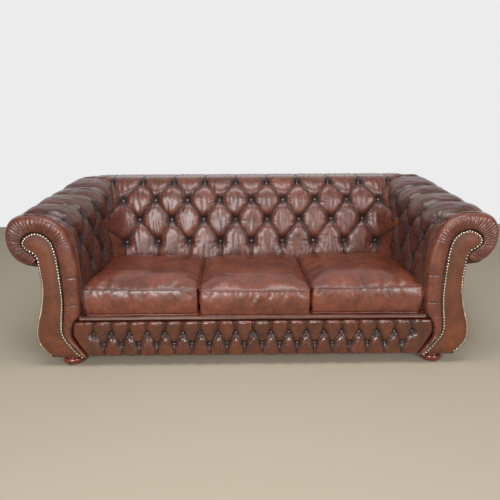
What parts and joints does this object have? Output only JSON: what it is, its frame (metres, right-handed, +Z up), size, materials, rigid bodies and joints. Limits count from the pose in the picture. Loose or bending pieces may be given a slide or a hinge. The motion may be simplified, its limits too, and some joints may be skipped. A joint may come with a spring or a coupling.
{
  "type": "sofa",
  "caption": "Chesterfield sofa in buttoned brown leather with splayed scroll arms, a rolled back, loose seat cushions and turned bun feet",
  "frame": {"origin": "on the floor under the middle of the sofa, at the bottom centre of its bounds", "axes": "+Z up, +X to the right of someone who faces the sofa, +Y from its front to its back"},
  "size_m": [2.2, 0.9198, 0.8],
  "materials": {
    "hide": "satin",
    "hide_facing": "satin",
    "hide_cushion": "satin",
    "hide_button": "satin",
    "hide_deck": "satin",
    "show_wood": "gloss",
    "timber": "matte",
    "lining_board": "matte",
    "spring_steel": "satin",
    "clip_steel": "satin",
    "hardware": "satin",
    "webbing": "matte",
    "hessian": "matte",
    "foam": "matte",
    "dust_cloth": "matte"
  },
  "bodies": {
    "frame": {"arm_buttons_left": "hide_button", "arm_buttons_right": "hide_button", "arm_former_left": "timber", "arm_former_right": "timber", "arm_lining_left": "lining_board", "arm_lining_right": "lining_board", "arm_pad_left": "hide", "arm_pad_right": "hide", "arm_stay_rail_left": "timber", "arm_stay_rail_right": "timber", "arm_top_rail_left": "timber", "arm_top_rail_right": "timber", "back_buttons": "hide_button", "back_former_left_inner": "timber", "back_former_left_outer": "timber", "back_former_right_inner": "timber", "back_former_right_outer": "timber", "back_inner_rail": "timber", "back_outer_rail": "timber", "back_pad": "hide", "back_rail": "timber", "back_stay_rail": "timber", "back_webbing": "webbing", "border_buttons": "hide_button", "cross_rail_left": "timber", "cross_rail_right": "timber", "dust_cover": "dust_cloth", "facing_left": "hide_facing", "facing_right": "hide_facing", "foot_blocks": "timber", "foot_front_left": "show_wood", "foot_front_right": "show_wood", "foot_rear_left": "show_wood", "foot_rear_right": "show_wood", "foot_studs": "hardware", "frame_dowels": "timber", "front_band_left": "hide", "front_band_right": "hide", "front_border": "hide", "front_rail": "timber", "nut_plates": "hardware", "outside_arm_left": "hide", "outside_arm_right": "hide", "outside_back": "hide", "rear_rail": "timber", "scroll_board_left": "timber", "scroll_board_right": "timber", "seat_platform": "hide_deck", "seat_springs": "spring_steel", "side_rail_left": "timber", "side_rail_right": "timber", "spring_clips": "clip_steel", "spring_cover": "hessian", "spring_tie_wires": "spring_steel"},
    "cushion_left": {"cushion_cover_left": "hide_cushion", "cushion_core_left": "foam"},
    "cushion_middle": {"cushion_cover_middle": "hide_cushion", "cushion_core_middle": "foam"},
    "cushion_right": {"cushion_cover_right": "hide_cushion", "cushion_core_right": "foam"}
  },
  "joints": [
    {"name": "lift_cushion_left", "type": "slide", "parent": "frame", "child": "cushion_left", "axis": [0, 0, 1], "range_m": [0, 0.56]},
    {"name": "lift_cushion_middle", "type": "slide", "parent": "frame", "child": "cushion_middle", "axis": [0, 0, 1], "range_m": [0, 0.56]},
    {"name": "lift_cushion_right", "type": "slide", "parent": "frame", "child": "cushion_right", "axis": [0, 0, 1], "range_m": [0, 0.56]}
  ]
}
